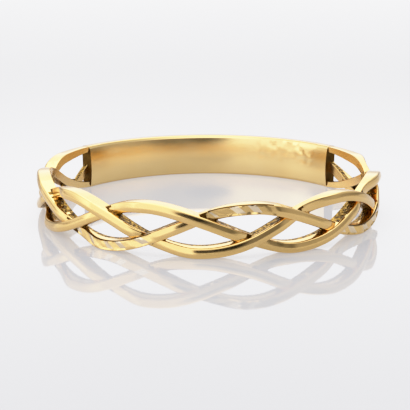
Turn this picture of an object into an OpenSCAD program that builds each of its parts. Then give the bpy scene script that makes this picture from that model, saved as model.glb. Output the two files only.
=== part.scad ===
// Finger ring cast in one piece: a flat plait of three strands with open windows, and a plain back.
// It lies on its side. The finger's axis is Z, the front of the plait faces -Y, the plain back is at +Y,
// and the lower rim stands on Z = 0. Angles along the band start at the front and grow towards +X.

/* [Ring size] */
// Width of the finger hole
bore_d = 17.3; // [15:0.1:21]
// Height of the band along the finger
band_h = 2.55; // [2.2:0.05:3.5]

/* [Plait] */
// Metal between the finger and the face of a strand that lies over another
over_t = 0.8; // [0.75:0.05:1.2]
// Metal between the finger and the face of a strand on its humps and loops
hump_t = 0.72; // [0.6:0.02:0.75]
// Metal between the finger and the face of a strand that dips under another
under_t = 0.38; // [0.3:0.02:0.5]
// Width of a strand's face
strand_w = 0.52; // [0.42:0.01:0.65]
// Width of the upper and lower strand where they run into the plain back
rail_w = 0.34; // [0.3:0.02:0.42]
// Thickness of the web that fills the sharp corners at a crossing
web_t = 0.34; // [0.2:0.02:0.4]
// How far a web stands out into a window
web_out = 0.12; // [0.06:0.02:0.2]
// How unevenly the plait is laid, from even to as the hand laid it
hand_laid = 1; // [0:0.1:1]

/* [Plain back] */
// Thickness of the plain back
shank_t = 0.72; // [0.6:0.02:1]
// Half of the angle that the plain back takes up
shank_half = 56; // [50:0.5:62]
// Width of the bevel along its outer edges
shank_bevel = 0.12; // [0.05:0.01:0.2]

/* [Hidden] */

// Crossings along one rim, counted from the front to either end of the plait
half_count = 4;
// One strand's whole wave is three of these crossings
crossing_phase = 120;
// The phase at which a strand rises through the middle crossing
first_phase = 30;
// The part of a crossing over which a strand's end levels out to run into the plain back
level_run = 0.6;
// How far a strand runs on inside the plain back, in crossings
lap = 0.12;
// How far a web runs on inside the strands beside it, and how far it keeps out of the finger hole
web_lap = 0.06;
web_back = 0.12;
// Angle from an end of the plain back to the plait's last crossing, which lies inside it
end_run_angle = 2;
// How far below the outside of the plain back a strand's face ends, and how far inside its rims
end_depth = 0.02;
rim_depth = 0.01;
// How far the finger side of a strand lifts where it lies over another or runs into the plain back
bore_lift = 0.03;
// Where the slanting strand leaves its last loop at the left and at the right end, and how far it
// climbs on its wave from there to the plain back, all in crossings
slant_left = 3.55;
slant_right = 3.2;
slant_climb = 0.8;
// Width of the slanting strand where it meets the plain back at the left and at the right end
slant_left_w = 0.42;
slant_right_w = 0.66;
// How far its finger side lifts there
slant_lift = 0.33;
// Step along the plait over which a strand's slope is measured
slope_step = 0.01;
// Sections along a strand between two crossings
steps = 13;
// Flats in the whole circle of the plain back
back_flats = 240;

bore_r = bore_d / 2;
face_r = bore_r + hump_t;
plait_half = 180 - shank_half + end_run_angle;
// The strand that ends along the lower rim at the left and the upper rim at the right, the one that
// ends the other way round, and the one that slants in at both ends
RISING = 0;
FALLING = 1;
SLANT = 2;

// A strand's outline as [side share, height share]: side 1 is half the width, height 1 is the crown's.
// It goes from the flat inside, up one side, over the crown and down the other side.
OUTLINE = [
    [-0.92, 0.00], [-1.00, 0.30], [-1.00, 0.66], [-0.80, 0.90], [-0.38, 1.00],
    [0.38, 1.00], [0.80, 0.90], [1.00, 0.66], [1.00, 0.30], [0.92, 0.00]
];

// The plait was laid by hand, so its crossings aren't evenly spaced. Each row is a crossing:
// its place along the plait, and how many degrees it stands off the even spacing.
HAND_LAID = [
    [-3.5, 1.0], [-3.0, -1.0], [-2.5, 1.0], [-2.0, 0.0], [-1.5, 0.0],
    [-1.0, -1.0], [-0.5, -2.6], [0.0, -3.0], [0.5, -3.0], [1.0, -4.7],
    [1.5, -4.7], [2.0, -5.8], [2.5, -6.4], [3.0, -4.3], [3.5, -2.2]
];
PLACE = 0;
OFF = 1;

function off_by(i) = i < 0 || i >= len(HAND_LAID) ? 0 : hand_laid * HAND_LAID[i][OFF];

// The rows' offsets joined by a smooth curve through each of them
function hand_offset(t) =
    let (
        x = (t - HAND_LAID[0][PLACE]) / (HAND_LAID[1][PLACE] - HAND_LAID[0][PLACE]),
        i = floor(x), u = x - i,
        a = off_by(i - 1), b = off_by(i), c = off_by(i + 1), d = off_by(i + 2)
    )
    b + u * (c - a + u * (2 * a - 5 * b + 4 * c - d + u * (3 * b - a - 3 * c + d))) / 2;

// Angle from the front of a place t crossings along the plait
function angle_at(t) = plait_half / half_count * t + hand_offset(t);

// How far the slanting strand has climbed from its last loop, in crossings
function climb_at(t) =
    let (from = t < 0 ? slant_left : slant_right)
    slant_climb * max(0, abs(t) - from) / (half_count - from);

// Where a strand is in its wave: two strands stay level from their last hump or loop on, and the third
// rests along its last loop before it climbs
function held(k, t) =
    k == RISING ? max(-half_count, min(half_count - 0.5, t))
    : k == FALLING ? max(0.5 - half_count, min(half_count, t))
    : abs(t) < half_count - 1 ? t
    : sign(t) * (half_count - 1 + climb_at(t));

function phase(k, t) = first_phase + crossing_phase * (held(k, t) + k);

// How far a place t is levelled out towards the plain back, 0 on the plait and 1 at its end
function levelled(t) =
    let (share = max(0, min(1, (abs(t) - half_count + level_run) / level_run)))
    share * share * (3 - 2 * share);

function width_at(k, t) =
    let (end_w = k != SLANT ? rail_w : t < 0 ? slant_left_w : slant_right_w)
    strand_w + (end_w - strand_w) * levelled(t);

function height_at(k, t) =
    band_h / 2 + ((band_h - width_at(k, t)) / 2 - rim_depth * levelled(t)) * sin(phase(k, t));

// Thickness from the bore to the crown: a strand is high where it crosses over, low where it dips under
function thick_at(k, t) =
    let (
        dip = sin(2 * phase(k, t)),
        woven = hump_t + dip * dip * (dip > 0 ? under_t - hump_t : over_t - hump_t)
    )
    woven + (shank_t - end_depth - woven) * levelled(t);

// How far the strand's finger side stands off the bore
function lift_at(k, t) =
    let (dip = min(0, sin(2 * phase(k, t))))
    max((k == SLANT ? slant_lift : bore_lift) * levelled(t), bore_lift * dip * dip);

function slope_at(k, t) =
    let (
        turned = angle_at(t + slope_step) - angle_at(t - slope_step),
        climbed = height_at(k, t + slope_step) - height_at(k, t - slope_step)
    )
    atan2(climbed, turned * PI / 180 * face_r);

// The outline of strand k at place t, as points in space
function section(k, t) =
    let (
        a = angle_at(t), s = slope_at(k, t), lift = lift_at(k, t),
        out = [sin(a), -cos(a), 0], along = [cos(a), sin(a), 0],
        side = -sin(s) * along + cos(s) * [0, 0, 1]
    )
    [for (p = OUTLINE)
        (bore_r + lift + p[1] * (thick_at(k, t) - lift)) * out
        + p[0] * width_at(k, t) / 2 * side + height_at(k, t) * [0, 0, 1]];

// One strand, swept through its outlines from inside one end of the plain back to inside the other
module strand(k) {
    reach = half_count + lap;
    count = ceil(2 * reach * steps);
    n = len(OUTLINE);
    polyhedron(
        points = [for (i = [0:count]) each section(k, -reach + 2 * reach * i / count)],
        faces = [
            [for (j = [n - 1:-1:0]) j],
            for (i = [0:count - 1], j = [0:n - 1])
                [i * n + j, i * n + (j + 1) % n, (i + 1) * n + (j + 1) % n, (i + 1) * n + j],
            [for (j = [0:n - 1]) count * n + j]
        ]
    );
}

// The web of metal left in the two sharp corners of the crossing at place t
module web(t) {
    slope = max([for (k = [RISING, FALLING, SLANT]) abs(slope_at(k, t))]);
    reach = strand_w / 2 / sin(slope) + web_out;
    tall = 2 * web_out * tan(slope) + 2 * web_lap;
    height = band_h / 2 + (t == floor(t) ? 1 : -1) * (band_h - strand_w) / 4;
    spread = reach / bore_r * 180 / PI;
    hull()
        for (a = [angle_at(t) - spread, angle_at(t) + spread])
            rotate([0, 0, a])
                translate([-web_lap / 2, -bore_r - web_t, height - tall / 2])
                    cube([web_lap, web_t - web_back, tall]);
}

// The plain flat band at the back of the finger
module plain_back() {
    rotate([0, 0, 90 - shank_half])
        rotate_extrude(angle = 2 * shank_half, $fn = back_flats)
            polygon([
                [bore_r, 0],
                [bore_r + shank_t - shank_bevel, 0],
                [bore_r + shank_t, shank_bevel],
                [bore_r + shank_t, band_h - shank_bevel],
                [bore_r + shank_t - shank_bevel, band_h],
                [bore_r, band_h]
            ]);
}

module braided_band() {
    color("gold")
    union() {
        plain_back();
        for (k = [RISING, FALLING, SLANT]) strand(k);
        for (t = [0.5 - half_count:0.5:half_count - 0.5]) web(t);
    }
}

braided_band();
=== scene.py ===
import math

import bmesh
import bpy
import numpy as np
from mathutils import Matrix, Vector, noise


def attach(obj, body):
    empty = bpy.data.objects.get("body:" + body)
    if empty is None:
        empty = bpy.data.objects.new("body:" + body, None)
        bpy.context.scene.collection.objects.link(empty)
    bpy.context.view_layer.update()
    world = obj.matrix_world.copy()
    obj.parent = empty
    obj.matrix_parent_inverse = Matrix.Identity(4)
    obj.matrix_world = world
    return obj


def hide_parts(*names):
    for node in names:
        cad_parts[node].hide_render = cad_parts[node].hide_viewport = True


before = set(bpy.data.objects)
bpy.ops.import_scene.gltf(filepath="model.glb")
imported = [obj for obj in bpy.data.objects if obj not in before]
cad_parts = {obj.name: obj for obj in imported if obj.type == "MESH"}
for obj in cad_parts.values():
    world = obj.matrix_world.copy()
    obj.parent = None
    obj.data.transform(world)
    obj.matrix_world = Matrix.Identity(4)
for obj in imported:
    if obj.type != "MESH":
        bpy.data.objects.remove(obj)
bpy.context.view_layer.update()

MM = 0.001

# The ring's own sizes, in millimetres and degrees, as its solid has them
BORE_R = 17.3 / 2
BAND_H = 2.55
OVER_T = 0.8
HUMP_T = 0.72
UNDER_T = 0.38
STRAND_W = 0.52
RAIL_W = 0.34
SHANK_T = 0.72
SHANK_HALF = 56
END_RUN = 2
END_DEPTH = 0.02
RIM_DEPTH = 0.01
BORE_LIFT = 0.03
SLANT_LIFT = 0.33
SLANT_W_LEFT = 0.42
SLANT_W_RIGHT = 0.66
PLAIT_HALF = 180 - SHANK_HALF + END_RUN
# How far the finger side of the two strands along the rims lifts at the plain back
RAIL_LIFT = 0.16

# The plait's law, as the solid has it: places along the plait are counted in crossings from its middle
HALF_COUNT = 4
CROSSING_PHASE = 120
FIRST_PHASE = 30
LEVEL_RUN = 0.6
LAP = 0.12
SLANT_LEFT = 3.55
SLANT_RIGHT = 3.2
SLANT_CLIMB = 0.8
# The strand with the bright cuts, the plain one, and the one that slants into the plain back
CUT_STRAND, PLAIN_STRAND, SLANT_STRAND = range(3)

# How many degrees each crossing stands off the even spacing, every half crossing from -3.5 on
HAND_START = -3.5
HAND_STEP = 0.5
HAND_LAID = [1.0, -1.0, 1.0, 0.0, 0.0, -1.0, -2.6, -3.0, -3.0, -4.7, -4.7, -5.8, -6.4, -4.3, -2.2]
# Rows of no offset before the first and after the last, for the curve through them
HAND_ENDS = [0.0] * 4

# The finishes, in the order of the ring's material slots. BUFFED isn't a slot of its own: it is polished
# where the strand runs level and rough where it's steep
# The dark tints of the rough cast and corner finishes are painted shade; the paler tints of the bright cuts
# and the finger side are painted light
POLISHED, CAST_SHADED, HIGHLIGHT_CUT, LIT_SATIN, PAINTED_SHADE, BUFFED = range(6)

# A strand's outline, from the lower side of the finger face round the crown and back.
# Each row: side share of half the width, millimetres up from the finger face or down from the crown,
# which of the two it is, and the finish of the strip from here to the next row
UP, DOWN = range(2)
OUTLINE = [
    (-0.86, 0.000, UP, POLISHED),
    (-0.96, 0.020, UP, CAST_SHADED),
    (-1.00, 0.060, UP, CAST_SHADED),
    (-1.00, 0.170, UP, CAST_SHADED),
    (-1.00, 0.280, UP, BUFFED),
    (-1.00, 0.170, DOWN, POLISHED),
    (-0.98, 0.115, DOWN, POLISHED),
    (-0.94, 0.078, DOWN, POLISHED),
    (-0.88, 0.052, DOWN, POLISHED),
    (-0.78, 0.034, DOWN, POLISHED),
    (-0.50, 0.018, DOWN, POLISHED),
    (-0.22, 0.005, DOWN, POLISHED),
    (-0.08, 0.000, DOWN, POLISHED),
    (0.12, 0.008, DOWN, POLISHED),
    (0.30, 0.019, DOWN, POLISHED),
    (0.50, 0.032, DOWN, POLISHED),
    (0.68, 0.045, DOWN, POLISHED),
    (0.80, 0.058, DOWN, POLISHED),
    (0.90, 0.082, DOWN, POLISHED),
    (0.97, 0.122, DOWN, POLISHED),
    (1.00, 0.180, DOWN, BUFFED),
    (1.00, 0.280, UP, CAST_SHADED),
    (1.00, 0.170, UP, CAST_SHADED),
    (1.00, 0.060, UP, CAST_SHADED),
    (0.96, 0.020, UP, POLISHED),
    (0.86, 0.000, UP, LIT_SATIN),
]
# The outline's columns
SIDES = np.array([row[0] for row in OUTLINE])
OFFSETS = np.array([row[1] for row in OUTLINE])
IS_DOWN = np.array([row[2] for row in OUTLINE]) == DOWN
FINISHES = np.array([row[3] for row in OUTLINE])
# The side share from which on a point lies on a side wall, and the one up to which it lies on the face
WALL_SIDE = 0.99
FACE_SIDE = 0.9

# A strand whose middle comes this near to the highest or lowest one lies along the ring's rim
RIM_NEAR = 0.05

# The mould's rough skin on the side walls: the slope in degrees from which on it shows and how soon it's
# full, the width of its coarse and fine grains, what the fine ones count, how far the grains stand out,
# and how far the wall lies back
SKIN_SLOPE = 8
SKIN_FULL = 12
SKIN_COARSE = 0.13
SKIN_FINE = 0.06
SKIN_FINE_SHARE = 0.6
SKIN_HIGH = 0.022
SKIN_BACK = 0.008

# Where one finish meets another the border is ragged, with teeth of this width
RAGGED_W = 0.22
# The slope in degrees from which on no buff reaches the walls, which stay rough cast with its painted
# shade, and how ragged that border is
STEEP = 20
STEEP_RAGGED = 6
# Right beside a crossing the strand below gets painted shade: how many degrees of its wave are painted dark
# to either side of the crossing, more along the strand's upper edge, and how ragged that border is
CROSSING_SHADE = 7.5
CROSSING_SHADE_UPPER = 2.5
CROSSING_SHADE_RAGGED = 4.0

# The slanting bright cuts: the middle of each run and half its length, how far one slice is from the
# next, how the creases slant, and how softly a run begins, all in crossings along the strand
CUT_RUNS = [(-0.95, 0.5), (0.42, 0.26), (2.0, 0.45), (3.3, 0.3)]
CUT_PITCH = 0.08
CUT_STEP = CUT_PITCH / 3
CUT_SHEAR = -0.05
CUT_FADE = 0.08
# A section on a crease belongs to the slice after it, by this share of a slice
CUT_SHIFT = 0.01
# The side share up to which the slices reach, and the one up to which their upper edge gets painted shade
CUT_EDGE = 0.75
CUT_RIM = 0.95
# How deep the creases between the slices lie one after another, how far each slice leans, and how
# deep it lies at least, in millimetres
CUT_DEPTHS = np.array([0.03, 0.085, 0.03, 0.06, 0.09, 0.03, 0.095, 0.03])
CUT_LEANS = np.array([0.02, -0.02, 0.035, -0.01, 0.03, -0.02, -0.02, 0.02])
CUT_LEAST = 0.01
# Which slices get the bright cut finish, whose paler tint is a painted highlight, and which stay polished
CUT_HIGHLIGHTED = np.array([False, True, False, False, True, False, True, False])

# Each rough surface has a pattern of its own, this far from the next one in the noise
COARSE_SEED, FINE_SEED, RAGGED_SEED, WEB_SEED, PIT_SEED = 1, 4, 9, 20, 31
SEED_STEP = (7.3, 3.1, 5.7)


def smooth(x):
    """A soft step from 0 to 1"""
    x = np.clip(x, 0, 1)
    return x * x * (3 - 2 * x)


def hand_offset(t):
    """The hand-laid offsets joined by a smooth curve through each of them"""
    x = (t - HAND_START) / HAND_STEP
    i = np.floor(x).astype(int)
    u = x - i
    rows = np.concatenate([HAND_ENDS, HAND_LAID, HAND_ENDS])
    a, b, c, d = (rows[i + len(HAND_ENDS) + n] for n in (-1, 0, 1, 2))
    return b + u * (c - a + u * (2 * a - 5 * b + 4 * c - d + u * (3 * b - a - 3 * c + d))) / 2


def angle_at(t):
    """Degrees from the front of the ring at place t"""
    return PLAIT_HALF / HALF_COUNT * t + hand_offset(t)


def held(k, t):
    """Where a strand is in its wave: two strands level out at their ends, the third slants in"""
    if k == SLANT_STRAND:
        loop = HALF_COUNT - 1
        leave = np.where(t < 0, SLANT_LEFT, SLANT_RIGHT)
        climb = SLANT_CLIMB * np.maximum(0, np.abs(t) - leave) / (HALF_COUNT - leave)
        return np.where(np.abs(t) < loop, t, np.sign(t) * (loop + climb))
    left, right = (0.5, 0) if k == PLAIN_STRAND else (0, 0.5)
    return np.clip(t, left - HALF_COUNT, HALF_COUNT - right)


def phase(k, t):
    """The phase of strand k's wave at place t, in radians"""
    return np.radians(FIRST_PHASE + CROSSING_PHASE * (held(k, t) + k))


def levelled(t):
    """How far a strand is levelled out towards the plain back"""
    return smooth((np.abs(t) - HALF_COUNT + LEVEL_RUN) / LEVEL_RUN)


def width_at(k, t):
    """The width of the strand's face"""
    end = np.where(t < 0, SLANT_W_LEFT, SLANT_W_RIGHT) if k == SLANT_STRAND else RAIL_W
    return STRAND_W + (end - STRAND_W) * levelled(t)


def height_at(k, t):
    """The height of the strand's middle"""
    swing = (BAND_H - width_at(k, t)) / 2 - RIM_DEPTH * levelled(t)
    return BAND_H / 2 + swing * np.sin(phase(k, t))


def thick_at(k, t):
    """How far its crown stands off the bore: high where it crosses over, low where it dips under"""
    dip = np.sin(2 * phase(k, t))
    woven = HUMP_T + dip * dip * np.where(dip > 0, UNDER_T - HUMP_T, OVER_T - HUMP_T)
    return woven + (SHANK_T - END_DEPTH - woven) * levelled(t)


def lift_at(k, t):
    """How far its finger side stands off the bore"""
    dip = np.minimum(0, np.sin(2 * phase(k, t)))
    end = SLANT_LIFT if k == SLANT_STRAND else RAIL_LIFT
    return np.maximum(end * levelled(t), BORE_LIFT * dip * dip)


def slope_at(k, t, step=0.01):
    """How steeply it climbs, in radians"""
    turned = np.radians(angle_at(t + step) - angle_at(t - step)) * (BORE_R + HUMP_T)
    return np.arctan2(height_at(k, t + step) - height_at(k, t - step), turned)


def degrees_to_cover(k, t):
    """Degrees of the wave to the nearest crossing at which strand k lies below"""
    return np.abs((np.degrees(phase(k, t)) - FIRST_PHASE + 90) % 180 - 90)


def grain(points, size, seed):
    """Soft noise from -1 to 1 at points in millimetres, with grains of that size"""
    shift = Vector([seed * step for step in SEED_STEP])
    return np.array([noise.noise(Vector(p) / size + shift) for p in points])


def new_piece(name, verts, faces, finishes):
    """A mesh from points in millimetres, with the finish of every face"""
    mesh = bpy.data.meshes.new(name)
    mesh.from_pydata([tuple(v * MM) for v in verts], [], faces)
    for finish in ring_finishes:
        mesh.materials.append(finish)
    mesh.polygons.foreach_set("material_index", finishes)
    mesh.validate()
    piece = bpy.data.objects.new(name, mesh)
    bpy.context.scene.collection.objects.link(piece)
    return piece


def tube_faces(count, n, turned=False):
    """The faces of a closed tube through count + 1 sections of n points, strip by strip, then its two
    ends. Turned is for sections whose points go the other way round"""
    faces = []
    for i in range(count):
        for j in range(n):
            here, beside = i * n + j, i * n + (j + 1) % n
            if turned:
                faces.append((here, here + n, beside + n, beside))
            else:
                faces.append((here, beside, beside + n, here + n))
    first, last = tuple(range(n)), tuple(range(count * n, (count + 1) * n))
    return faces + ([first, last[::-1]] if turned else [first[::-1], last])


def cut_run(k, t):
    """Where strand k has bright cuts along it, from 0 to 1"""
    run = np.zeros_like(t)
    if k == CUT_STRAND:
        for middle, half_run in CUT_RUNS:
            run = np.maximum(run, smooth((half_run + CUT_FADE - np.abs(t - middle)) / CUT_FADE))
    return run


def slice_at(t):
    """Which slice of the bright cuts place t lies in, and how far along it"""
    turn = t / CUT_PITCH + CUT_SHIFT
    number = np.floor(turn).astype(int)
    return number % len(CUT_DEPTHS), turn - number


def cut_offsets(t, run):
    """The outline's offsets, with the crown sunk to the slices where the bright cuts run"""
    this, share = slice_at(t)
    after = (this + 1) % len(CUT_DEPTHS)
    deep = CUT_DEPTHS[this] * (1 - share) + CUT_DEPTHS[after] * share
    cut = np.maximum(deep + CUT_LEANS[this] * SIDES, CUT_LEAST)
    return OFFSETS + run * ((np.abs(SIDES) < CUT_EDGE) & IS_DOWN) * (cut - OFFSETS)


def rough_sided(k, points, across, slope):
    """Moves the side walls in and out by the mould's grain, where the strand climbs"""
    skin = smooth((np.abs(np.degrees(slope)) - SKIN_SLOPE) / SKIN_FULL) * (np.abs(SIDES) > WALL_SIDE)
    rough = skin > 0
    coarse = grain(points[rough], SKIN_COARSE, COARSE_SEED + k)
    fine = grain(points[rough], SKIN_FINE, FINE_SEED + k)
    push = np.zeros_like(skin)
    push[rough] = skin[rough] * (SKIN_HIGH * (coarse + SKIN_FINE_SHARE * fine) - SKIN_BACK)
    return points + (push * np.sign(SIDES))[..., None] * across


def strand_finishes(k, t, run, points, slope):
    """The finish of every strip between two sections of a strand, then those of its two ends"""
    ragged = grain(points.reshape(-1, 3), RAGGED_W, RAGGED_SEED + k).reshape(slope.shape)

    # the walls are buffed along the rims, and by the crown also where the strand runs level
    heights = np.stack([height_at(m, t) for m in range(3)])
    top_rim = heights[k] >= heights.max(0) - RIM_NEAR
    low_rim = heights[k] <= heights.min(0) + RIM_NEAR
    level = np.abs(np.degrees(slope[:, :1])) + STEEP_RAGGED * ragged <= STEEP
    reached = np.where(SIDES > 0, top_rim, low_rim) | ((FINISHES == BUFFED) & level)
    wall = (FINISHES == CAST_SHADED) | (FINISHES == BUFFED)
    finish = np.where(wall, np.where(reached, POLISHED, CAST_SHADED), FINISHES)

    # the face gets painted shade beside the crossings and along the bright cuts' upper edge, and the chosen
    # slices of the cuts get their paler tint, a painted highlight
    polished = finish == POLISHED
    in_run = run > 0.5
    near = CROSSING_SHADE + CROSSING_SHADE_UPPER * SIDES + CROSSING_SHADE_RAGGED * ragged
    corner = (degrees_to_cover(k, t) < near) & IS_DOWN & (np.abs(SIDES) < FACE_SIDE)
    edge = in_run & (SIDES > CUT_EDGE) & (SIDES < CUT_RIM)
    highlighted = in_run & CUT_HIGHLIGHTED[slice_at(t)[0]] & (np.abs(SIDES) < CUT_EDGE)
    finish = np.where(polished & highlighted, HIGHLIGHT_CUT, finish)
    finish = np.where(polished & (corner | edge), PAINTED_SHADE, finish)
    return finish[:-1].ravel().tolist() + [CAST_SHADED, CAST_SHADED]


def plait_strand(k):
    """One strand swept along the plait, with its ridge, its bright cuts and rough sides"""
    half = math.ceil((HALF_COUNT + LAP) / CUT_STEP)
    t = CUT_STEP * np.arange(-half, half + 1)[:, None]
    run = cut_run(k, t)
    # where the bright cuts run, their creases lie across the strand at a slant
    sheared = t + CUT_SHEAR * run * SIDES

    angle, slope = np.radians(angle_at(sheared)), slope_at(k, sheared)
    thick, lift, width = thick_at(k, sheared), lift_at(k, sheared), width_at(k, sheared)
    off = cut_offsets(t, run) * np.minimum(1, thick / HUMP_T)
    radius = np.where(IS_DOWN, BORE_R + thick - off, BORE_R + lift + off)
    out = np.stack([np.sin(angle), -np.cos(angle), 0 * angle], -1)
    along = np.stack([np.cos(angle), np.sin(angle), 0 * angle], -1)
    up = np.array([0.0, 0.0, 1.0])
    across = -np.sin(slope)[..., None] * along + np.cos(slope)[..., None] * up
    points = radius[..., None] * out + (SIDES * width / 2)[..., None] * across
    points = points + height_at(k, sheared)[..., None] * up
    points = rough_sided(k, points, across, slope)

    faces = tube_faces(2 * half, len(OUTLINE))
    finishes = strand_finishes(k, t, run, points, slope)
    return new_piece(f"strand_{k + 1}", points.reshape(-1, 3), faces, finishes)


# The plain back's outline as [millimetres out from the finger face, height from the rim]: its lower
# edge, which the upper one mirrors, and the points up its outside between them
BACK_EDGE = [
    (0.160, 0.05), (0.180, 0.02), (0.21, 0.0), (0.38, 0.0), (0.56, 0.0),
    (0.64, 0.012), (0.69, 0.045), (0.715, 0.10), (0.72, 0.20),
]
BACK_OUTSIDE = [(SHANK_T, BAND_H * share) for share in (0.3, 0.5, 0.7)]
# The heights of the points down its finger side, as shares of the band's height
INSIDE_SHARES = np.linspace(0.94, 0.06, 19)
# The finger side is softly crowned: how far it falls back at the rims
CROWNED = 0.12
# Its right part is pitted: where along X and from what height on, how soon the pits are full, how wide
# a pit is, how deep, and how far the metal between the pits stands up at most, as a share of that
PITTED_FROM, PITTED_TO, PITTED_UP = 2.9, 6.8, 1.05
PITTED_SOON, PITTED_UP_SOON = 0.6, 0.4
PIT_WIDTH = 0.36
PIT_DEPTH = 0.036
PIT_BETWEEN = 0.2
# Sections from one end of the plain back to the other
BACK_SECTIONS = 200


def pitted_inside(finger_side):
    """Sinks the pits of the finger side's right part into its points"""
    x, z = finger_side[..., 0], finger_side[..., 2]
    where = smooth((x - PITTED_FROM) / PITTED_SOON) * smooth((PITTED_TO - x) / PITTED_SOON)
    where = where * smooth((z - PITTED_UP) / PITTED_UP_SOON)
    pits = grain(finger_side.reshape(-1, 3), PIT_WIDTH, PIT_SEED).reshape(x.shape)
    away = finger_side * (1, 1, 0) / (BORE_R + CROWNED / 2)
    return finger_side + (PIT_DEPTH * where * np.maximum(pits, -PIT_BETWEEN))[..., None] * away


def plain_back():
    """The flat band at the back of the finger, with softened edges and square ends"""
    upper = [(x, BAND_H - z) for x, z in reversed(BACK_EDGE)]
    inside = [(CROWNED * (2 * share - 1) ** 2, BAND_H * share) for share in INSIDE_SHARES]
    outline = BACK_EDGE + BACK_OUTSIDE + upper + inside
    n = len(outline)
    angles = np.radians(np.linspace(-SHANK_HALF, SHANK_HALF, BACK_SECTIONS + 1) + 180)
    verts = np.array([
        ((BORE_R + x) * math.sin(angle), -(BORE_R + x) * math.cos(angle), z)
        for angle in angles
        for x, z in outline
    ]).reshape(BACK_SECTIONS + 1, n, 3)
    # the pits keep clear of the finger side's two edges
    first = n - len(inside)
    verts[:, first + 1 : n - 1] = pitted_inside(verts[:, first + 1 : n - 1])
    section = [LIT_SATIN if j >= first - 1 else POLISHED for j in range(n)]
    # the plain back's two square ends get painted shade
    finishes = section * BACK_SECTIONS + [PAINTED_SHADE, PAINTED_SHADE]
    return new_piece("plain_back", verts.reshape(-1, 3), tube_faces(BACK_SECTIONS, n), finishes)


# The webs of metal in the sharp corners of a crossing: how far one stands out into the windows and runs
# on inside the strands, how far off the finger hole it starts and how thick it is, and its grain
WEB_OUT = 0.12
WEB_LAP = 0.1
WEB_BACK = 0.1
WEB_T = 0.24
WEB_GRAIN_W = 0.12
WEB_GRAIN_H = 0.02
# How much smaller it is at its inner and outer face, how square its outline is across and in height,
# and the share of its height that is left at its middle
WEB_TAPER = 0.25
WEB_SQUARE_X = 0.8
WEB_SQUARE_Z = 0.6
WEB_WAIST = 0.35
# Sections from its inner to its outer face, and the points round each
WEB_SECTIONS = 9
WEB_POINTS = 20


def corner_web(t):
    """The rough metal left in the two sharp corners where strands cross at place t"""
    slope = max(abs(float(slope_at(k, np.array([t]))[0])) for k in range(3))
    reach = STRAND_W / 2 / math.sin(slope) + WEB_OUT
    tall = 2 * WEB_OUT * math.tan(slope) + WEB_LAP
    middle = BAND_H / 2 + (1 if t == math.floor(t) else -1) * (BAND_H - STRAND_W) / 4
    centre = math.radians(float(angle_at(np.array([t]))[0]))
    verts = []
    for i in range(WEB_SECTIONS + 1):
        radius = BORE_R + WEB_BACK + WEB_T * i / WEB_SECTIONS
        full = 1 - WEB_TAPER * abs(2 * i / WEB_SECTIONS - 1) ** 3
        for j in range(WEB_POINTS):
            turn = 2 * math.pi * j / WEB_POINTS
            x, z = math.cos(turn), math.sin(turn)
            wide = reach * full * math.copysign(abs(x) ** WEB_SQUARE_X, x)
            high = tall / 2 * full * math.copysign(abs(z) ** WEB_SQUARE_Z, z)
            high = high * (WEB_WAIST + (1 - WEB_WAIST) * abs(x))
            angle = centre + wide / BORE_R
            verts.append((radius * math.sin(angle), -radius * math.cos(angle), middle + high))
    verts = np.array(verts)
    pushes = [grain(verts, WEB_GRAIN_W, WEB_SEED + m) for m in range(3)]
    verts = verts + WEB_GRAIN_H * np.stack(pushes, -1)
    faces = tube_faces(WEB_SECTIONS, WEB_POINTS, turned=True)
    # the webs' rough cast finish carries the painted shade of the corners
    return new_piece(f"web_{t}", verts, faces, [CAST_SHADED] * len(faces))


def outward(piece):
    """Turns the piece's faces outward, so that it joins as a solid"""
    mesh = piece.data
    volume = 0.0
    for face in mesh.polygons:
        corners = [mesh.vertices[i].co for i in face.vertices]
        for b, c in zip(corners[1:], corners[2:]):
            volume += corners[0].dot(b.cross(c))
    if volume < 0:
        mesh.flip_normals()
    return piece


def cast_in_one(name, parts):
    """Joins the parts into one closed body, as the casting is"""
    body = outward(parts[0])
    for part in parts[1:]:
        outward(part)
        step = body.modifiers.new(part.name, "BOOLEAN")
        step.operation, step.solver, step.object = "UNION", "MANIFOLD", part
        bpy.context.view_layer.update()
        graph = bpy.context.evaluated_depsgraph_get()
        joined = bpy.data.meshes.new_from_object(body.evaluated_get(graph))
        body.modifiers.clear()
        body.data = joined
        bpy.data.objects.remove(part)
    body.name = body.data.name = name
    return body


# Edges that turn by more than these degrees stay crisp: anywhere on the casting, and beside a bright cut
# slice
CRISP_ANGLE = 24
CRISP_CUT_ANGLE = 7


def crisp_cuts(mesh):
    """Keeps the creases beside the bright cut slices crisp"""
    shape = bmesh.new()
    shape.from_mesh(mesh)
    for edge in shape.edges:
        if len(edge.link_faces) == 2 and any(f.material_index == HIGHLIGHT_CUT for f in edge.link_faces):
            if edge.calc_face_angle(0.0) > math.radians(CRISP_CUT_ANGLE):
                edge.smooth = False
    shape.to_mesh(mesh)
    shape.free()


def to_linear(code):
    """An sRGB hex colour as linear RGBA"""
    parts = [int(code[i : i + 2], 16) / 255 for i in (1, 3, 5)]
    return [c / 12.92 if c <= 0.04045 else ((c + 0.055) / 1.055) ** 2.4 for c in parts] + [1.0]


def scale_of(size):
    """The scale of a texture whose cells are this many millimetres wide"""
    return 1 / (size * MM)


# How many waves the wave texture draws across one cell
WAVES = 20 / math.tau


def add_node(tree, kind, settings=None, **inputs):
    """Adds a node with its settings, and its inputs as values or as links from other sockets"""
    node = tree.nodes.new(kind)
    for name, value in (settings or {}).items():
        setattr(node, name, value)
    for name, value in inputs.items():
        key = int(name[1:]) if name[1:].isdigit() else name.replace("_", " ")
        socket = node.inputs[key]
        if isinstance(value, bpy.types.NodeSocket):
            tree.links.new(value, socket)
        else:
            socket.default_value = value
    return node


def new_finish(name):
    """An empty material and its nodes"""
    finish = bpy.data.materials.new(name)
    finish.use_nodes = True
    finish.node_tree.nodes.clear()
    return finish, finish.node_tree


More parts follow.
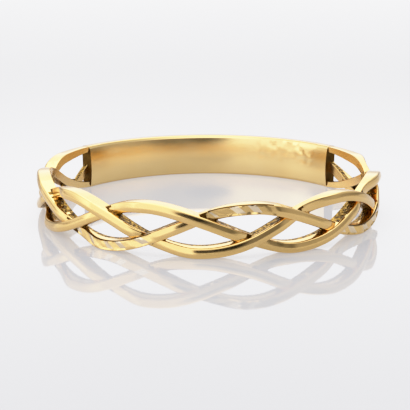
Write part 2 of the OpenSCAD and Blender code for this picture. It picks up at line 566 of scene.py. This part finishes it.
def polished_gold():
    """Yellow gold, cast and buffed: bright, with the fine hairlines that buffing and wear leave"""
    finish, tree = new_finish("polished_yellow_gold")
    here = add_node(tree, "ShaderNodeTexCoord").outputs["Object"]
    # wear dulls it in patches of about a millimetre
    soft = add_node(tree, "ShaderNodeTexNoise", Vector=here, Scale=scale_of(10 / 9), Detail=3.0)
    # hairlines along the band, 0.4 mm long and a ninth of that apart: the real ones are too fine to show
    drawn_out = add_node(tree, "ShaderNodeMapping", Vector=here, Scale=(1.0, 1.0, 9.0))
    hair = add_node(
        tree, "ShaderNodeTexNoise", Vector=drawn_out.outputs["Vector"], Scale=scale_of(0.3846), Detail=2.0
    )
    rough = add_node(
        tree, "ShaderNodeMapRange", Value=soft.outputs["Fac"],
        From_Min=0.1, From_Max=0.9, To_Min=0.06, To_Max=0.22,
    )
    tint = add_node(
        tree, "ShaderNodeMix", {"data_type": "RGBA"}, Factor=soft.outputs["Fac"],
        i6=to_linear("#ebc278"), i7=to_linear("#f6cf8c"),
    )
    bump = add_node(
        tree, "ShaderNodeBump", Height=hair.outputs["Fac"], Strength=0.05, Distance=0.02 * MM
    )
    metal = add_node(
        tree, "ShaderNodeBsdfPrincipled", Base_Color=tint.outputs[2], Metallic=1.0,
        Roughness=rough.outputs["Result"], Coat_Weight=0.15, Coat_Roughness=0.05,
        Normal=bump.outputs["Normal"],
    )
    add_node(tree, "ShaderNodeOutputMaterial", Surface=metal.outputs["BSDF"])
    return finish


def cast_gold_painted_shade():
    """Gold as it left the mould, in the windows where no buff reaches: grainy and dull, with a dark brown
    tint that is painted shade for the windows and corners
    """
    finish, tree = new_finish("rough_cast_gold_painted_shade")
    here = add_node(tree, "ShaderNodeTexCoord").outputs["Object"]
    # the mould's grains are about 0.05 mm wide: they are drawn two to three times as coarse, to show
    grit = add_node(tree, "ShaderNodeTexNoise", Vector=here, Scale=scale_of(1 / 7), Detail=3.0)
    pits = add_node(tree, "ShaderNodeTexVoronoi", Vector=here, Scale=scale_of(1 / 9))
    patch = add_node(
        tree, "ShaderNodeMapRange", Value=grit.outputs["Fac"],
        From_Min=0.38, From_Max=0.66, To_Min=0.0, To_Max=1.0,
    )
    # the dark brown tint is painted shade for the windows and corners, varied in patches by the grit
    tint = add_node(
        tree, "ShaderNodeMix", {"data_type": "RGBA"}, Factor=patch.outputs["Result"],
        i6=to_linear("#44300c"), i7=to_linear("#c0963e"),
    )
    rough = add_node(
        tree, "ShaderNodeMapRange", Value=grit.outputs["Fac"],
        From_Min=0.3, From_Max=0.7, To_Min=0.5, To_Max=0.3,
    )
    bump = add_node(
        tree, "ShaderNodeBump", Height=pits.outputs["Distance"], Strength=0.7, Distance=0.05 * MM
    )
    metal = add_node(
        tree, "ShaderNodeBsdfPrincipled", Base_Color=tint.outputs[2], Metallic=1.0,
        Roughness=rough.outputs["Result"], Normal=bump.outputs["Normal"],
    )
    add_node(tree, "ShaderNodeOutputMaterial", Surface=metal.outputs["BSDF"])
    return finish


def painted_shade_gold():
    """Gold in closed corners and creases, its dark brown tint painted shade"""
    finish, tree = new_finish("painted_shade_corner_gold")
    here = add_node(tree, "ShaderNodeTexCoord").outputs["Object"]
    # the painted shade varies in blots of a third of a millimetre
    cloud = add_node(tree, "ShaderNodeTexNoise", Vector=here, Scale=scale_of(1 / 3), Detail=4.0)
    tint = add_node(
        tree, "ShaderNodeMix", {"data_type": "RGBA"}, Factor=cloud.outputs["Fac"],
        i6=to_linear("#2a1a06"), i7=to_linear("#7a5822"),
    )
    bump = add_node(
        tree, "ShaderNodeBump", Height=cloud.outputs["Fac"], Strength=0.6, Distance=0.06 * MM
    )
    metal = add_node(
        tree, "ShaderNodeBsdfPrincipled", Base_Color=tint.outputs[2], Metallic=1.0,
        Roughness=0.5, Normal=bump.outputs["Normal"],
    )
    add_node(tree, "ShaderNodeOutputMaterial", Surface=metal.outputs["BSDF"])
    return finish


def bright_cut_gold_painted_highlight():
    """Gold sliced with a polished cutter: mirror-bright, with the faint straight lines of the tool; its
    paler tint is a painted highlight
    """
    finish, tree = new_finish("bright_cut_gold_painted_highlight")
    here = add_node(tree, "ShaderNodeTexCoord").outputs["Object"]
    # the tool's real lines are finer than these, which are drawn 0.07 mm apart, to show
    lines = add_node(
        tree, "ShaderNodeTexWave", Vector=here, Scale=scale_of(0.0698 * WAVES), Distortion=1.0
    )
    bump = add_node(
        tree, "ShaderNodeBump", Height=lines.outputs["Fac"], Strength=0.04, Distance=0.02 * MM
    )
    # the pale tint is a painted highlight on the slices it covers
    metal = add_node(
        tree, "ShaderNodeBsdfPrincipled", Base_Color=to_linear("#f4dfbc"), Metallic=1.0,
        Roughness=0.05, Normal=bump.outputs["Normal"],
    )
    add_node(tree, "ShaderNodeOutputMaterial", Surface=metal.outputs["BSDF"])
    return finish


def satin_gold_painted_light():
    """Gold on the finger side, dulled by wear: a soft sheen with cloudy patches, in a paler tint that is
    painted light
    """
    finish, tree = new_finish("worn_satin_gold_painted_light")
    here = add_node(tree, "ShaderNodeTexCoord").outputs["Object"]
    # its cloudy patches are some 2 mm wide
    cloud = add_node(tree, "ShaderNodeTexNoise", Vector=here, Scale=scale_of(2.0), Detail=1.0)
    rough = add_node(
        tree, "ShaderNodeMapRange", Value=cloud.outputs["Fac"],
        From_Min=0.1, From_Max=0.9, To_Min=0.15, To_Max=0.26,
    )
    # the paler tint paints in brighter light and less of the orange that gold reflecting gold gives
    tint = add_node(
        tree, "ShaderNodeMix", {"data_type": "RGBA"}, Factor=cloud.outputs["Fac"],
        i6=to_linear("#f2cd8a"), i7=to_linear("#fadb9e"),
    )
    metal = add_node(
        tree, "ShaderNodeBsdfPrincipled", Base_Color=tint.outputs[2], Metallic=1.0,
        Roughness=rough.outputs["Result"],
    )
    add_node(tree, "ShaderNodeOutputMaterial", Surface=metal.outputs["BSDF"])
    return finish


ring_finishes = [polished_gold(), cast_gold_painted_shade(), bright_cut_gold_painted_highlight(), satin_gold_painted_light(), painted_shade_gold()]

parts = [plain_back()] + [plait_strand(k) for k in range(3)]
parts += [corner_web(n / 2) for n in range(1 - 2 * HALF_COUNT, 2 * HALF_COUNT)]
ring = cast_in_one("ring_casting", parts)
for polygon in ring.data.polygons:
    polygon.use_smooth = True
ring.data.set_sharp_from_angle(angle=math.radians(CRISP_ANGLE))
crisp_cuts(ring.data)
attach(ring, "root")
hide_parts("braided_band")

# The table's two circles of points, in metres from its middle, and how many points each has
TABLE_REACH = (0.1, 2.0)
TABLE_POINTS = 96


def white_table():
    """A glossy white acrylic sheet that the ring lies on, lit from below as well"""
    finish, tree = new_finish("glossy_white_acrylic")
    acrylic = add_node(
        tree, "ShaderNodeBsdfPrincipled", Base_Color=to_linear("#8c8c8e"), Roughness=0.04, IOR=1.6,
        Emission_Color=to_linear("#fbfbff"), Emission_Strength=0.36,
    )
    add_node(tree, "ShaderNodeOutputMaterial", Surface=acrylic.outputs["BSDF"])
    n = TABLE_POINTS
    verts = [(0.0, 0.0, 0.0)]
    for reach in TABLE_REACH:
        for j in range(n):
            turn = 2 * math.pi * j / n
            verts.append((reach * math.cos(turn), reach * math.sin(turn), 0.0))
    faces = []
    for j in range(n):
        beside = (j + 1) % n
        faces.append((0, 1 + j, 1 + beside))
        faces.append((1 + j, 1 + n + j, 1 + n + beside, 1 + beside))
    mesh = bpy.data.meshes.new("table_top")
    mesh.from_pydata(verts, [], faces)
    mesh.materials.append(finish)
    table = bpy.data.objects.new("table_top", mesh)
    bpy.context.scene.collection.objects.link(table)


# The tent's light overhead, and the dark opening at the camera: its direction and its reach from there
OVERHEAD = 2.0
OPENING_AT = (0.0, -1.0, 0.22)
OPENING_REACH = (0.36, 1.0, 0.15)


def soft_tent():
    """A white tent round the table: bright behind, above and at the left, dark where the camera is"""
    world = bpy.data.worlds.new("white_tent")
    world.use_nodes = True
    tree = world.node_tree
    tree.nodes.clear()
    soft = {"interpolation_type": "SMOOTHSTEP"}
    times = {"operation": "MULTIPLY"}
    way = add_node(tree, "ShaderNodeTexCoord").outputs["Generated"]
    x, y, z = add_node(tree, "ShaderNodeSeparateXYZ", Vector=way).outputs
    width = add_node(tree, "ShaderNodeMath", {"operation": "ABSOLUTE"}, i0=x).outputs["Value"]

    # the front side, bright at its left and a little at its far right
    left = add_node(
        tree, "ShaderNodeMapRange", soft, Value=x, From_Min=-0.7, From_Max=0.15, To_Min=2.3, To_Max=0.28
    )
    right = add_node(
        tree, "ShaderNodeMapRange", soft, Value=x, From_Min=0.55, From_Max=0.9, To_Min=0.0, To_Max=0.45
    )
    front = add_node(
        tree, "ShaderNodeMath", {"operation": "ADD"}, i0=left.outputs["Result"], i1=right.outputs["Result"]
    )

    # the rear side, brighter above the horizon and in its middle
    rise = add_node(
        tree, "ShaderNodeMapRange", soft, Value=z, From_Min=0.08, From_Max=0.3, To_Min=0.8, To_Max=1.85
    )
    middle = add_node(
        tree, "ShaderNodeMapRange", soft, Value=width, From_Min=0.2, From_Max=0.5, To_Min=1.0, To_Max=0.55
    )
    rear = add_node(
        tree, "ShaderNodeMath", times, i0=rise.outputs["Result"], i1=middle.outputs["Result"]
    )

    # both sides and the light overhead, dimmer at the flanks
    frontness = add_node(
        tree, "ShaderNodeMapRange", soft, Value=y, From_Min=-0.35, From_Max=0.35, To_Min=1.0, To_Max=0.0
    )
    around = add_node(
        tree, "ShaderNodeMix", {"data_type": "FLOAT"}, i0=frontness.outputs["Result"],
        i2=rear.outputs["Value"], i3=front.outputs["Value"],
    )
    above = add_node(
        tree, "ShaderNodeMapRange", soft, Value=z, From_Min=0.6, From_Max=0.9, To_Min=0.0, To_Max=1.0
    )
    cloth = add_node(
        tree, "ShaderNodeMix", {"data_type": "FLOAT"}, i0=above.outputs["Result"],
        i2=around.outputs[0], i3=OVERHEAD,
    )
    flank = add_node(
        tree, "ShaderNodeMapRange", soft, Value=width, From_Min=0.25, From_Max=0.65, To_Min=1.0, To_Max=0.66
    )
    dimmed = add_node(tree, "ShaderNodeMath", times, i0=cloth.outputs[0], i1=flank.outputs["Result"])

    # the dark opening at the camera
    offset = add_node(tree, "ShaderNodeVectorMath", {"operation": "SUBTRACT"}, i0=way, i1=OPENING_AT)
    share = add_node(
        tree, "ShaderNodeVectorMath", {"operation": "DIVIDE"}, i0=offset.outputs[0], i1=OPENING_REACH
    )
    reach = add_node(tree, "ShaderNodeVectorMath", {"operation": "LENGTH"}, i0=share.outputs[0])
    opening = add_node(
        tree, "ShaderNodeMapRange", soft, Value=reach.outputs["Value"],
        From_Min=0.75, From_Max=1.1, To_Min=0.04, To_Max=1.0,
    )
    seen = add_node(
        tree, "ShaderNodeMath", times, i0=dimmed.outputs["Value"], i1=opening.outputs["Result"]
    )
    tent = add_node(
        tree, "ShaderNodeBackground", Color=to_linear("#fdfdff"), Strength=seen.outputs["Value"]
    )
    add_node(tree, "ShaderNodeOutputWorld", Surface=tent.outputs["Background"])
    bpy.context.scene.world = world


def soft_lamp(name, place, size, power):
    """A white softbox at a place in metres, turned to the ring"""
    lamp = bpy.data.lights.new(name, "AREA")
    lamp.shape = "RECTANGLE"
    lamp.size, lamp.size_y = size
    lamp.energy = power
    stand = bpy.data.objects.new(name, lamp)
    stand.location = place
    stand.rotation_mode = "QUATERNION"
    stand.rotation_quaternion = (Vector((0, 0, MM)) - Vector(place)).to_track_quat("-Z", "Y")
    bpy.context.scene.collection.objects.link(stand)


# The camera as the photo has it: its distance is the ring's outer radius over NEAR, it looks down by so
# many degrees, and the ring's middle and outer radius lie in the picture at so many pixels
OUTER_R = BORE_R + OVER_T
NEAR = 0.20
LOOK_DOWN = 14.8
PHOTO_W = 410
PIXELS_PER_R = 168.15
MIDDLE_U, MIDDLE_V = 208.5, 207.4
SENSOR_W = 36


def close_camera():
    """The camera of the photo, close to the ring"""
    lens = bpy.data.cameras.new("camera")
    lens.sensor_width = SENSOR_W
    lens.lens = PIXELS_PER_R / NEAR / PHOTO_W * SENSOR_W
    lens.shift_x = (PHOTO_W / 2 - MIDDLE_U) / PHOTO_W
    lens.shift_y = (MIDDLE_V - PHOTO_W / 2) / PHOTO_W
    lens.clip_start, lens.clip_end = 0.001, 10
    camera = bpy.data.objects.new("camera", lens)
    far = OUTER_R / NEAR * MM
    down = math.radians(LOOK_DOWN)
    camera.location = (0, -far * math.cos(down), far * math.sin(down))
    camera.rotation_euler = (math.pi / 2 - down, 0, 0)
    bpy.context.scene.collection.objects.link(camera)
    bpy.context.scene.camera = camera


# The brightest light that the tone curve still tells apart, and how tightly it bends
BRIGHTEST = 3.0
SHOULDER = 5


def camera_response():
    """The camera's tone curve: it rolls off softly, so that bright gold turns cream and not flat yellow"""
    view = bpy.context.scene.view_settings
    view.view_transform = "Standard"
    view.use_curve_mapping = True
    curves = view.curve_mapping
    curves.white_level = (BRIGHTEST,) * 3
    for light in (0.25, 0.5, 0.75, 1.0, 1.3, 1.7, 2.3):
        shown = light / (1 + light ** SHOULDER) ** (1 / SHOULDER)
        curves.curves[3].points.new(light / BRIGHTEST, shown)
    curves.update()


white_table()
soft_tent()
soft_lamp("left_softbox", (-0.16, 0.02, 0.07), (0.18, 0.14), 0.05)
soft_lamp("top_softbox", (0.02, 0.10, 0.22), (0.22, 0.16), 0.06)
close_camera()
camera_response()
